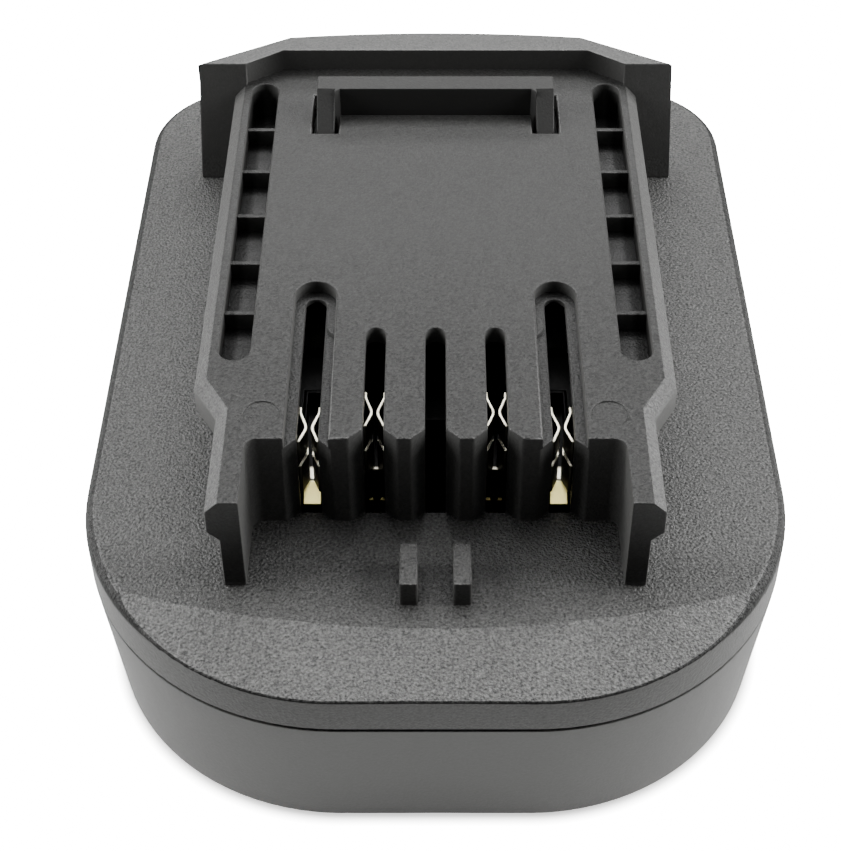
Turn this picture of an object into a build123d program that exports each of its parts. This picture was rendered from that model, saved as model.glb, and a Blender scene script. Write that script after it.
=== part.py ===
from build123d import *
import os
from math import cos, pi, sin, sqrt

# Tool battery adapter. +X right, +Y to the rear, +Z up, millimetres.
# The origin is the centre of the base's bottom face.

# Base: plan at the seam between the two shells
base_side = 10.0
base_length = 112.0
front_corner_radius = 29.5
rear_corner_radius = 14.0
base_inset = 1.7
base_edge_radius = 0.8
seam_rise = 3.8
cover_band = 4.7
edge_rounding = 1.5
shell_wall = 2.4
cover_skin = 2.2
slope_length = 8.6
slope_arc_radius = 113.0

# Shadow gap and inner tongue that locate the shells on each other
shadow_gap = 0.35
shadow_depth = 0.7
tongue_depth = 1.5
tongue_wall = 1.2
tongue_gap = 0.3

# Rail platform and its prongs
platform_rise = 12.9
platform_skin = 2.2
rail_width = 54.0
rail_thickness = 6.5
rail_chamfer = 1.45
rail_under_chamfer = 2.0
neck_width = 45.8
prong_width = 48.4
prong_setback = 14.7
prong_length = 14.0
lead_in_length = 4.9
mouth_width = 41.0
mouth_depth = 9.6
mouth_fillet = 1.3

# Comb of contact slots behind the mouth
comb_depth = 12.0
comb_floor = 1.2
comb_chamfer = 1.5
sense_slot_offset = 6.8
power_slot_offset = 14.0
sense_slot_width = 2.3
sense_slot_length = 18.2
power_slot_width = 2.4
recess_width = 4.85
recess_depth = 1.6
recess_length = 26.5
recess_margin = 1.4
leaf_room_side = 0.32
leaf_room_front = 0.5
leaf_room_top = 0.5

# Ladder slots along the rails
ladder_inset = 21.0
ladder_width = 3.6
ladder_setback = 12.7
ladder_length = 55.5
ladder_cells = 6
ladder_rib = 0.8
ladder_rib_drop = 0.9
ladder_depth = 2.4
ladder_end_depth = 5.0

# Ejector marks and coding pegs
mark_diameter = 4.0
mark_offset = 19.0
mark_setback = 3.9
mark_depth = 0.15
peg_spacing = 5.8
peg_width = 2.1
peg_length = 6.2
peg_height = 3.15
peg_setback = 11.9
peg_draft = 0.15

# Rear wall, ears and hump behind them
wall_setback = 15.9
wall_rise = 3.0
wall_flat_width = 41.0
ear_root_width = 50.6
ear_width = 63.2
ear_flare = 0.6
ear_setback = 19.2
ear_lean = 3.8
ear_tip_width = 60.4
ear_tip_setback = 18.5
hump_corner_width = 39.6
hump_corner_setback = 12.6
hump_crown_setback = 11.5
hump_foot_run = 7.7
hump_corner_flare = 2.2
hump_tip_run = 2.2
hump_skin = 2.2
hump_room_margin = 1.5

# Sprung latch: hook, carriage, button, springs, guide pins and retainer
hook_width = 31.0
hook_rise = 3.6
hook_to_wall = 6.9
bar_depth = 3.3
arm_width = 2.3
arm_length = 7.5
arm_crest = 4.3
hook_web = 0.7
latch_gap = 0.6
latch_travel = 4.0
stop_gap = 0.3
carriage_side = 0.7
latch_room_side = 3.7
carriage_thickness = 2.0
carriage_rear_margin = 2.0
carriage_neck_width = 24.0
carriage_lap = 1.6
carriage_tongue_width = 12.0
carriage_tongue_thickness = 1.2
carriage_edge_radius = 1.2
fit_gap = 0.05
button_width = 24.4
button_top_margin = 2.2
button_height = 7.9
button_proud = 0.6
button_side_gap = 0.4
button_wall = 1.6
button_back_setback = 11.4
grip_ribs = 3
grip_rib_height = 0.9
grip_rib_depth = 0.6
skirt_length = 4.1
spring_coil_radius = 2.2
spring_wire_radius = 0.28
spring_wire_sides = 6
spring_samples = 200
spring_turns = 5
spring_length = 8.0
spring_offset = 9.0
spring_setback = 4.0
spring_pin_radius = 1.6
spring_pin_length = 2.4
seat_pin_length = 1.0
guide_radius = 1.25
guide_gap = 0.05
guide_offset = 12.5
guide_to_wall = 4.2
guide_socket = 0.8
retainer_thickness = 2.0
retainer_gap = 0.4
retainer_boss_radius = 2.6
retainer_front_offset = 12.0
retainer_front_boss_margin = 4.4
retainer_rear_offset = 20.0
retainer_rear_boss_run = 0.8

# Small self-tapping screws of the inner parts
small_screw_radius = 0.95
small_screw_head_radius = 1.9
small_screw_head = 1.3
small_screw_length = 8.0
small_screw_slot = 0.5
small_hole_radius = 1.0

# Fork contacts on the tool side
leaf_thickness = 0.38
leaf_spread = 0.9
leaf_pinch_gap = 0.16
leaf_rear_length = 2.4
leaf_front_length = 2.25
leaf_bend_radius = 1.4
contact_drop = 3.0
upper_leaf_height = 3.0
leaf_split = 0.8
lower_leaf_height = 4.2
contact_floor_gap = 0.6
contact_strip_width = 0.9
contact_neck_length = 0.9
channel_height = 2.6
contact_floor_thickness = 0.4
channel_length = 10.0
power_pinch_setback = 4.85
sense_pinch_setback = 7.3
tab_width = 2.06
tab_point = 0.9
tab_length = 2.9
tab_tilt = 40.0
tail_width = 1.4
tail_setback = 7.0
sense_tail_setback = 0.9
sense_shoulder_width = 1.9
sense_shoulder_height = 0.4
sense_shoulder_rise = 3.6

# Insulating block that carries the fork contacts
contact_block_depth = 11.0
contact_block_lap = 2.6
contact_block_lift = 1.4
contact_block_gap = 0.3
block_screw_offset = 10.4
block_screw_setback = 8.0
block_boss_radius = 2.2
block_screw_length = 11.0

# Receptacle for the source battery, open below and at the rear
receptacle_width = 60.0
receptacle_mouth_width = 53.0
receptacle_lip = 4.0
receptacle_height = 12.5
receptacle_front_setback = 18.0
receptacle_wall = 2.4
receptacle_roof = 2.0
receptacle_lead_in = 2.5
floor_thickness = 2.4
catch_width = 18.0
catch_length = 7.0
catch_height = 5.0
catch_wall = 1.6
catch_setback = 27.0

# Male blades of the receptacle and their insulator
blade_block_margin = 1.9
blade_block_depth = 3.8
blade_block_top = 12.0
blade_nose_margin = 1.1
blade_thickness = 0.8
blade_height = 6.0
blade_length = 14.0
blade_lift = 4.6
blade_offset = 17.7
blade_point = 1.0
blade_tail_depth = 2.2
signal_blade_thickness = 0.6
signal_blade_height = 4.0
signal_blade_length = 12.0
signal_blade_lift = 5.6
signal_blade_offset = 5.5

# Bus bars from the power blades to the outer fork contacts
busbar_thickness = 0.6
busbar_width = 3.0
busbar_lift = 2.8
busbar_foot_depth = 3.0

# Circuit board with its standoffs, screws and parts
board_thickness = 1.6
board_width = 44.0
board_neck_width = 24.0
board_front_margin = 1.2
board_neck_share = 0.39
board_rear_gap = 9.8
board_lift = 1.1
standoff_radius = 2.4
standoff_offset = 18.5
standoff_margin = 4.5
chip_width = 6.5
chip_length = 5.0
chip_height = 1.6
capacitor_radius = 2.5
capacitor_height = 2.6
resistor_width = 3.2
resistor_length = 1.6
resistor_height = 0.6
resistor_rows = 3
resistor_offset = 2.9
component_offset = 11.8
chip_row_share = 0.4
capacitor_row_share = 0.82
resistor_row_share = 0.32
resistor_pitch_share = 0.16

# Screws that hold the two shells together from below
front_boss_gap = 1.0
front_boss_setback = 11.0
rear_boss_margin = 4.3
rear_boss_setback = 14.0
boss_radius = 2.9
cover_boss_radius = 2.4
boss_height = 14.5
boss_gap = 0.3
housing_screw_radius = 0.95
housing_hole_radius = 1.25
housing_pilot_radius = 1.0
housing_pilot_run = 1.3
housing_head_radius = 2.1
housing_head_height = 1.9
housing_counterbore_radius = 2.35
housing_counterbore_depth = 3.0
housing_screw_length = 17.0
housing_drive_width = 1.6
housing_drive_depth = 0.9

# Length by which every cut runs past the face it opens
overrun = 2.0

# Heights and stations that follow from the sizes above
base_width = receptacle_width + 2 * base_side
roof_z = receptacle_height + receptacle_roof
seam_height = roof_z + seam_rise
plateau_z = seam_height + cover_band + edge_rounding
ceiling_z = plateau_z - cover_skin
platform_z = plateau_z + platform_rise
rail_under_z = platform_z - rail_thickness
room_z = platform_z - platform_skin
wall_z = platform_z + wall_rise
front_y = -base_length / 2
rear_y = base_length / 2
prong_y = front_y + prong_setback
comb_y = prong_y + mouth_depth
comb_back_y = comb_y + comb_depth
wall_y = rear_y - wall_setback
ladder_y = comb_y + ladder_setback
hook_rear_y = wall_y - hook_to_wall
hook_z = platform_z + hook_rise
hook_front_y = hook_rear_y - arm_length
platform_room_width = hook_width + 2 * latch_room_side
carriage_z = room_z - stop_gap
spring_y = hook_rear_y - spring_setback
spring_seat_z = carriage_z - carriage_thickness - spring_length
guide_y = wall_y - guide_to_wall
contact_z = platform_z - contact_drop
leaf_split_z = contact_z - upper_leaf_height
lower_leaf_z = leaf_split_z - leaf_split
contact_low_z = lower_leaf_z - lower_leaf_height
contact_floor_z = contact_low_z - contact_floor_gap
block_top_z = contact_floor_z + contact_block_lap
board_z = roof_z + board_lift
board_top_z = board_z + board_thickness
busbar_z = board_top_z + busbar_lift
block_low_z = busbar_z + busbar_thickness + contact_block_lift
receptacle_y = front_y + receptacle_front_setback
blade_block_y = receptacle_y - receptacle_wall - blade_block_depth
blade_block_half = blade_offset + blade_thickness / 2 + blade_block_margin
board_y = blade_block_y - board_front_margin
catch_front_y = rear_y - catch_setback - catch_length
board_rear_y = catch_front_y - catch_wall - board_rear_gap
board_split_y = board_y + board_neck_share * (board_rear_y - board_y)


def box(x_limits, y_limits, z_limits):
    """Block between two limits on each axis."""
    spans = [high - low for low, high in (x_limits, y_limits, z_limits)]
    middles = [(low + high) / 2 for low, high in (x_limits, y_limits, z_limits)]
    return Pos(*middles) * Box(*spans)


def rod(x, y, radius, low, high):
    """Upright cylinder between two heights."""
    return Pos(x, y, (low + high) / 2) * Cylinder(radius, high - low)


def both_sides(shape):
    """The shape and its mirror image across the middle plane, as a list."""
    return [shape, mirror(shape, about=Plane.YZ)]


def raised(face, low, high):
    """Prism of a plan face between two heights."""
    return Pos(0, 0, low) * extrude(face, amount=high - low)


def group(shapes):
    """Separate solids kept together in one node."""
    solids = []
    for shape in shapes:
        solids.extend(shape.solids())
    return Compound(children=solids)


def base_plan(inset):
    """Base outline drawn in by an inset, with large front and small rear corners."""
    plan = Rectangle(base_width - 2 * inset, base_length - 2 * inset)
    plan = fillet(plan.vertices().group_by(Axis.Y)[0], front_corner_radius - inset)
    return fillet(plan.vertices().group_by(Axis.Y)[-1], rear_corner_radius - inset)


def drafted(inset, low, high):
    """Prism of the base that draws in towards the bottom with the shell's draft."""
    draft_share = base_inset / seam_height
    lower = Pos(0, 0, low) * base_plan(inset + draft_share * (seam_height - low))
    upper = Pos(0, 0, high) * base_plan(inset + draft_share * (seam_height - high))
    return loft([lower, upper], ruled=True)


def screw(x, y, seat, length, radius, head_radius, head, drive_width, drive_depth):
    """Pan-head screw driven upwards, its head below the seat, with a cross drive."""
    body = rod(x, y, radius, seat - head / 2, seat + length)
    cap = rod(x, y, head_radius, seat - head, seat)
    drive = Box(drive_width * 2, drive_width / 3, drive_depth * 2)
    drive += Box(drive_width / 3, drive_width * 2, drive_depth * 2)
    return body + cap - Pos(x, y, seat - head) * drive


front_boss_x = blade_block_half + boss_radius + front_boss_gap
rear_boss_x = receptacle_width / 2 + rear_boss_margin
boss_places = [(side * front_boss_x, front_y + front_boss_setback) for side in (-1, 1)]
boss_places += [(side * rear_boss_x, rear_y - rear_boss_setback) for side in (-1, 1)]

standoff_places = [
    (side * standoff_offset, y)
    for side in (-1, 1)
    for y in (board_split_y + standoff_margin, board_rear_y - standoff_margin)
]


def lower_housing():
    """Drafted tray with the receptacle moulded into its floor."""
    shell = drafted(0, 0, seam_height)
    shell = fillet(shell.edges().group_by(Axis.Z)[0], base_edge_radius)
    shell -= drafted(shell_wall, floor_thickness, seam_height + overrun / 4)
    inner_half = receptacle_width / 2
    tunnel = box(
        (-inner_half - receptacle_wall, inner_half + receptacle_wall),
        (receptacle_y - receptacle_wall, rear_y),
        (0, roof_z),
    )
    shell += tunnel & drafted(0, 0, seam_height)

    catch_rear_y = catch_front_y + catch_length
    shell += box(
        (-catch_width / 2 - catch_wall, catch_width / 2 + catch_wall),
        (catch_front_y - catch_wall, catch_rear_y + catch_wall),
        (roof_z - receptacle_roof / 2, receptacle_height + catch_height + catch_wall),
    )
    for x, y in boss_places:
        shell += rod(x, y, boss_radius, floor_thickness / 2, boss_height)
    for x, y in standoff_places:
        shell += rod(x, y, standoff_radius, roof_z - receptacle_roof / 2, board_z)

    cuts = []
    lead = receptacle_lead_in
    mouth_half = receptacle_mouth_width / 2
    run = (receptacle_y, rear_y + overrun)
    cuts.append(box((-inner_half, inner_half), run, (receptacle_lip, receptacle_height)))
    cuts.append(box((-mouth_half, mouth_half), run, (-overrun, receptacle_lip + lead)))
    for side in (-1, 1):
        lead_in = Polyline(
            (side * mouth_half, rear_y + overrun),
            (side * (mouth_half + lead), rear_y + overrun),
            (side * (mouth_half + lead), rear_y),
            (side * mouth_half, rear_y - 2 * lead),
            close=True,
        )
        cuts.append(raised(make_face(lead_in), -overrun, receptacle_lip + lead))
    cuts.append(
        box(
            (-catch_width / 2, catch_width / 2),
            (catch_front_y, catch_rear_y),
            (receptacle_height - overrun, receptacle_height + catch_height),
        )
    )
    nose_half = blade_block_half - blade_nose_margin + fit_gap
    cuts.append(
        box(
            (-nose_half, nose_half),
            (receptacle_y - receptacle_wall - overrun / 4, receptacle_y + overrun),
            (floor_thickness + blade_nose_margin - fit_gap, blade_block_top - blade_nose_margin + fit_gap),
        )
    )
    for x, y in boss_places:
        cuts.append(rod(x, y, housing_hole_radius, -overrun, boss_height + overrun))
        cuts.append(rod(x, y, housing_counterbore_radius, -overrun, housing_counterbore_depth))
    for x, y in standoff_places:
        cuts.append(rod(x, y, small_hole_radius, receptacle_height + receptacle_roof / 2, board_z + overrun))
    rim = raised(base_plan(-overrun), seam_height - shadow_gap, seam_height + overrun)
    rim -= raised(base_plan(shadow_depth), seam_height - shadow_gap - overrun, seam_height + 2 * overrun)
    cuts.append(rim)
    return shell - cuts


def front_slope():
    """Cone-shaped cut that lets the plateau fall gently to the front lip."""
    reach = 3 * slope_length
    centre_y = front_y + slope_length + slope_arc_radius
    profile = Polyline(
        (slope_arc_radius, 0, plateau_z),
        (slope_arc_radius + reach, 0, plateau_z + overrun),
        (slope_arc_radius + reach, 0, plateau_z - edge_rounding * reach / slope_length),
        close=True,
    )
    wedge = revolve(make_face(profile), axis=Axis.Z)
    return Pos(0, centre_y, 0) * wedge


def hump_places(z):
    """Half width and place of the ears, tips, corners and crown of the hump at a height."""
    share = (wall_z - z) / (wall_z - plateau_z)
    ear = (ear_width / 2 + ear_flare * share, rear_y - ear_setback - ear_lean * share)
    tip_flare = ear_flare + ear_width / 2 - ear_tip_width / 2
    tip = (ear_tip_width / 2 + tip_flare * share, rear_y - ear_tip_setback + hump_tip_run * share)
    corner = (
        hump_corner_width / 2 + hump_corner_flare * share,
        rear_y - hump_corner_setback + hump_foot_run * share,
    )
    return ear, tip, corner, rear_y - hump_crown_setback + hump_foot_run * share


def hump():
    """Ears and rear hump, leaning outwards towards the plateau."""
    plans = []
    for z in (plateau_z - cover_skin / 2, wall_z):
        ear, tip, corner, crown_y = hump_places(z)
        right = [corner, tip, ear]
        sides = Polyline(*right, *[(-x, y) for x, y in reversed(right)])
        crown = ThreePointArc(corner, (0, crown_y), (-corner[0], corner[1]))
        plans.append(Pos(0, 0, z) * make_face(sides + crown))
    return loft(plans, ruled=True)


def hump_room():
    """Hollow of the hump, one skin inside its back."""
    plans = []
    half = (hump_corner_width + ear_tip_width) / 4 - hump_room_margin
    for z in (ceiling_z - overrun / 4, wall_z - hump_skin):
        ear, tip, corner, crown_y = hump_places(z)
        slant = (corner[1] - tip[1]) / (tip[0] - corner[0])
        inner = (corner[0] - hump_skin, corner[1] - hump_skin)
        right = [inner, (half, inner[1] - slant * (half - inner[0])), (half, wall_y - hump_skin)]
        sides = Polyline(*right, *[(-x, y) for x, y in reversed(right)])
        crown = ThreePointArc(inner, (0, crown_y - hump_skin), (-inner[0], inner[1]))
        plans.append(Pos(0, 0, z) * make_face(sides + crown))
    platform_part = box((-half, half), (0, wall_y + hump_skin), (room_z, wall_z))
    return loft(plans, ruled=True) - platform_part


def rail_block():
    """Rail platform with prongs: chamfered flange over a narrower neck."""
    rail_half = rail_width / 2
    prong_half = prong_width / 2
    lead_y = prong_y + prong_length
    end_y = rear_y - ear_tip_setback
    half = [
        (prong_half, prong_y),
        (prong_half, lead_y),
        (rail_half, lead_y + lead_in_length),
        (rail_half, end_y),
    ]
    outline = half + [(-x, y) for x, y in reversed(half)]
    flange = raised(make_face(Polyline(*outline, close=True)), rail_under_z, platform_z)

    def side_edges(z):
        level = flange.edges().filter_by_position(Axis.Z, z, z)
        return level.filter_by(lambda edge: abs(edge.center().X) > neck_width / 2)

    flange = chamfer(side_edges(platform_z), rail_chamfer)
    flange = chamfer(side_edges(rail_under_z), rail_under_chamfer)
    neck_half = neck_width / 2
    neck_z = (plateau_z - cover_skin / 2, rail_under_z + overrun)
    return flange + box((-neck_half, neck_half), (prong_y, end_y), neck_z)


def slot_plan(width, length, centre):
    """Plan of a slot that opens at the mouth and ends in a half round."""
    half = width / 2
    arc_y = comb_y + length - half
    edges = Polyline((half, arc_y), (half, comb_y - overrun), (-half, comb_y - overrun), (-half, arc_y))
    end = ThreePointArc((half, arc_y), (0, comb_y + length), (-half, arc_y))
    return Pos(centre, 0) * make_face(edges + end)


def comb_cuts():
    """Cuts of the mouth and the five contact slots."""
    mouth_half = mouth_width / 2
    mouth = Rectangle(mouth_width, mouth_depth + overrun, align=(Align.CENTER, Align.MAX))
    mouth = fillet(mouth.vertices().group_by(Axis.Y)[-1], mouth_fillet)
    cuts = [raised(Pos(0, comb_y) * mouth, plateau_z, platform_z + overrun)]
    power_length = recess_length - recess_margin
    open_top = platform_z + overrun
    slots = [(0, sense_slot_width, sense_slot_length, open_top)]
    leaf_half = leaf_spread + leaf_thickness + leaf_room_side
    leaf_front = comb_y - leaf_front_length - leaf_room_front
    for side in (-1, 1):
        slots.append((side * sense_slot_offset, sense_slot_width, sense_slot_length, open_top))
        slots.append((side * power_slot_offset, power_slot_width, power_length, platform_z - recess_depth))
        leaves = [(sense_slot_offset, sense_pinch_setback), (power_slot_offset, power_pinch_setback)]
        for offset, setback in leaves:
            middle = side * offset
            cuts.append(
                box(
                    (middle - leaf_half, middle + leaf_half),
                    (leaf_front + setback, comb_back_y + overrun),
                    (ceiling_z - overrun, contact_z + leaf_room_top),
                )
            )
        recess = slot_plan(recess_width, recess_length, side * power_slot_offset)
        cuts.append(raised(recess, platform_z - recess_depth, open_top))
    for centre, width, length, funnel_top in slots:
        cuts.append(raised(slot_plan(width, length, centre), plateau_z, open_top))
        through_y = comb_y + comb_floor
        cuts.append(
            box(
                (centre - width / 2, centre + width / 2),
                (through_y, comb_back_y + overrun),
                (ceiling_z - overrun, plateau_z + overrun),
            )
        )
        funnel = Polyline(
            (centre - width / 2, comb_y + comb_chamfer),
            (centre - width / 2 - comb_chamfer - overrun, comb_y - overrun),
            (centre + width / 2 + comb_chamfer + overrun, comb_y - overrun),
            (centre + width / 2, comb_y + comb_chamfer),
            close=True,
        )
        cuts.append(raised(make_face(funnel), plateau_z, funnel_top))
    return cuts


def ladder_cuts():
    """Rounded slot beside each rail, with cross ribs a little below the surface."""
    radius = ladder_width / 2
    centre = ladder_inset + radius
    middle_y = ladder_y + ladder_length / 2
    pitch = ladder_length / ladder_cells
    plan = Pos(centre, middle_y) * SlotOverall(ladder_length, ladder_width, rotation=90)
    cuts = [raised(plan, platform_z - ladder_rib_drop, platform_z + overrun)]
    for cell in range(ladder_cells):
        last = cell == ladder_cells - 1
        low = ladder_y - overrun if cell == 0 else ladder_y + cell * pitch + ladder_rib / 2
        high = ladder_y + ladder_length + overrun if last else ladder_y + (cell + 1) * pitch - ladder_rib / 2
        depth = ladder_end_depth if last else ladder_depth
        window = box((centre - radius, centre + radius), (low, high), (platform_z - depth, platform_z))
        cuts.append(window & raised(plan, platform_z - depth, platform_z))
    return [side for cut in cuts for side in both_sides(cut)]


def latch_cut():
    """U-shaped cut-out that the hook stands in."""
    outer = hook_width / 2 + latch_gap
    inner = hook_width / 2 - arm_width - latch_gap
    heights = (room_z - overrun, platform_z + overrun)
    rear = hook_rear_y + latch_gap
    cuts = [box((-outer, outer), (hook_rear_y - bar_depth - latch_gap, rear), heights)]
    cuts += both_sides(box((inner, outer), (hook_front_y - latch_gap, rear), heights))
    return cuts


def retainer_boss_places():
    """Middles of the four bosses that carry the latch retainer."""
    front = hook_front_y - latch_gap - retainer_front_boss_margin
    rear = wall_y + retainer_rear_boss_run
    places = [(side * retainer_front_offset, front) for side in (-1, 1)]
    return places + [(side * retainer_rear_offset, rear) for side in (-1, 1)]


def block_screw_places():
    """Middles of the two bosses that carry the contact block."""
    return [(side * block_screw_offset, comb_back_y + block_screw_setback) for side in (-1, 1)]


def button_window():
    """Opening in the back of the hump for the release button."""
    half = button_width / 2 + button_side_gap
    top = wall_z - button_top_margin + button_side_gap
    low = wall_z - button_top_margin - button_height - latch_travel - button_side_gap
    return box((-half, half), (rear_y - button_back_setback - button_side_gap, rear_y), (low, top))


def pegs():
    """Two coding pegs on the plateau in front of the mouth."""
    top = Rectangle(peg_width - 2 * peg_draft, peg_length - 2 * peg_draft)
    foot = Rectangle(peg_width, peg_length)
    top = fillet(top.vertices(), 2 * peg_draft)
    foot = fillet(foot.vertices(), 2 * peg_draft)
    root = cover_skin / 2
    peg = loft([Pos(0, 0, -root) * foot, Pos(0, 0, peg_height) * top], ruled=True)
    x = peg_spacing / 2
    y = front_y + peg_setback + peg_length / 2
    return [Pos(side * x, y, plateau_z) * peg for side in (-1, 1)]


def upper_cover():
    """Cover with the rail platform, comb, ladders, rear wall, ears and pegs in one moulding."""
    cover = raised(base_plan(0), seam_height, plateau_z)
    cover = fillet(cover.faces().sort_by(Axis.Z)[-1].edges(), edge_rounding - fit_gap)
    cover -= front_slope()
    cover += rail_block()
    cover += hump()

    wall_front = Polyline(
        (wall_flat_width / 2, wall_y),
        (ear_root_width / 2, rear_y - ear_setback),
        (ear_root_width / 2, prong_y),
        (-ear_root_width / 2, prong_y),
        (-ear_root_width / 2, rear_y - ear_setback),
        (-wall_flat_width / 2, wall_y),
        close=True,
    )
    cuts = [raised(make_face(wall_front), platform_z, wall_z + overrun)]
    cuts.append(raised(base_plan(shell_wall), seam_height - overrun, ceiling_z))
    half = platform_room_width / 2
    room_rear_y = wall_y + hump_skin + overrun
    cuts.append(box((-half, half), (comb_back_y, room_rear_y), (ceiling_z - overrun, room_z)))
    cuts.append(hump_room())
    cuts += comb_cuts() + ladder_cuts() + latch_cut()
    cuts.append(button_window())
    mark_y = comb_y + mark_setback
    mark = rod(mark_offset, mark_y, mark_diameter / 2, platform_z - mark_depth, platform_z + overrun)
    cuts += both_sides(mark)
    cover -= cuts

    tongue_inset = shell_wall + tongue_gap
    tongue = raised(base_plan(tongue_inset), seam_height - tongue_depth, seam_height)
    tongue += raised(base_plan(shell_wall / 2), seam_height, seam_height + tongue_depth)
    tongue -= raised(base_plan(tongue_inset + tongue_wall), seam_height - overrun, seam_height + overrun)
    bosses = [
        rod(x, y, cover_boss_radius, boss_height + boss_gap, ceiling_z + cover_skin / 2)
        for x, y in boss_places
    ]
    bosses += [
        rod(x, y, retainer_boss_radius, spring_seat_z, room_z + platform_skin / 2)
        for x, y in retainer_boss_places()
    ]
    bosses += [
        rod(x, y, block_boss_radius, block_top_z, room_z + platform_skin / 2)
        for x, y in block_screw_places()
    ]
    cover = cover + tongue + bosses + pegs()

    pilot_top = housing_counterbore_depth + housing_screw_length + housing_pilot_run
    pilots = [rod(x, y, housing_pilot_radius, boss_height, pilot_top) for x, y in boss_places]
    pilots += [
        rod(x, y, small_hole_radius, spring_seat_z - overrun, spring_seat_z + small_screw_length)
        for x, y in retainer_boss_places()
    ]
    pilots += [
        rod(x, y, small_hole_radius, block_low_z, block_low_z + block_screw_length + small_hole_radius)
        for x, y in block_screw_places()
    ]
    socket = rod(guide_offset, guide_y, guide_radius + guide_gap, room_z - overrun, room_z + guide_socket)
    return cover - pilots - both_sides(socket)


def latch_hook():
    """Hook with ramped arms on the carriage plate that slides on the guide pins."""
    half = hook_width / 2 + carriage_side
    front = hook_front_y - latch_gap - stop_gap
    low = carriage_z - carriage_thickness
    plate = box((-half, half), (front, guide_y + carriage_rear_margin), (low, carriage_z))
    plate = fillet(plate.edges().filter_by(Axis.Z), carriage_edge_radius)
    neck_half = carriage_neck_width / 2
    neck_rear = rear_y - button_back_setback
    plate += box((-neck_half, neck_half), (guide_y, neck_rear), (low, carriage_z))
    tongue_half = carriage_tongue_width / 2
    middle = (low + carriage_z) / 2
    tongue_z = (middle - carriage_tongue_thickness / 2, middle + carriage_tongue_thickness / 2)
    plate += box((-tongue_half, tongue_half), (guide_y, neck_rear + carriage_lap), tongue_z)

    outer = hook_width / 2
    root = carriage_z - carriage_thickness / 2
    bar = box((-outer, outer), (hook_rear_y - bar_depth, hook_rear_y), (root, hook_z))
    arm = Polyline(
        (hook_front_y, root),
        (hook_front_y, platform_z - latch_gap),
        (hook_front_y + arm_crest, hook_z),
        (hook_rear_y, hook_z),
        (hook_rear_y, root),
        close=True,
    )
    arm_face = Plane.YZ * make_face(arm)
    arm_solid = Pos(outer - arm_width, 0, 0) * extrude(arm_face, amount=arm_width)
    web = Polyline(
        (outer - arm_width, hook_rear_y - bar_depth),
        (outer - arm_width - hook_web, hook_rear_y - bar_depth),
        (outer - arm_width, hook_rear_y - bar_depth - hook_web),
        close=True,
    )
    web_solid = raised(make_face(web), root, hook_z)
    hook = bar + both_sides(arm_solid) + both_sides(web_solid)
    crest = hook.edges().filter_by(Axis.X).filter_by_position(Axis.Z, hook_z, hook_z)
    hook = chamfer(crest.sort_by(Axis.Y)[-1], stop_gap)
    pin_z = (low - spring_pin_length, low + carriage_thickness / 2)
    pins = both_sides(rod(spring_offset, spring_y, spring_pin_radius, *pin_z))
    bores = both_sides(rod(guide_offset, guide_y, guide_radius + guide_gap, low - overrun, hook_z))
    return plate + hook + pins - bores


def hump_back_y(z):
    """Outer face of the hump at the middle plane."""
    share = (wall_z - z) / (wall_z - plateau_z)
    return rear_y - hump_crown_setback + hump_foot_run * share


def release_button():
    """Button in the back of the hump: ribbed sloping face with a skirt behind the opening."""
    top = wall_z - button_top_margin
    low = top - button_height
    back = rear_y - button_back_setback
    face = Polyline(
        (back, low),
        (back, top),
        (hump_back_y(top) + button_proud, top),
        (hump_back_y(low) + button_proud, low),
        close=True,
    )
    half = button_width / 2
    body = Pos(-half, 0, 0) * extrude(Plane.YZ * make_face(face), amount=button_width)
    body = fillet(body.edges().filter_by(Axis.X).group_by(Axis.Y)[-1], button_proud)
    pitch = button_height / (grip_ribs + 1)
    rib_half = half - 2 * button_proud - grip_rib_height
    for rib in range(grip_ribs):
        z = low + (rib + 1) * pitch
        section = Pos(hump_back_y(z) + button_proud, z) * Ellipse(grip_rib_depth, grip_rib_height / 2)
        body += Pos(-rib_half, 0, 0) * extrude(Plane.YZ * section, amount=2 * rib_half)
    skirt_half = half - button_wall
    skirt_z = (low - skirt_length, low + button_wall)
    body += box((-skirt_half, skirt_half), (back, back + button_wall), skirt_z)
    plate_low = carriage_z - carriage_thickness
    middle = (plate_low + carriage_z) / 2
    slot_half = carriage_tongue_width / 2 + fit_gap
    slot_z = carriage_tongue_thickness / 2 + fit_gap
    slot_y = (back - overrun, back + carriage_lap + fit_gap)
    return body - box((-slot_half, slot_half), slot_y, (middle - slot_z, middle + slot_z))


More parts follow.
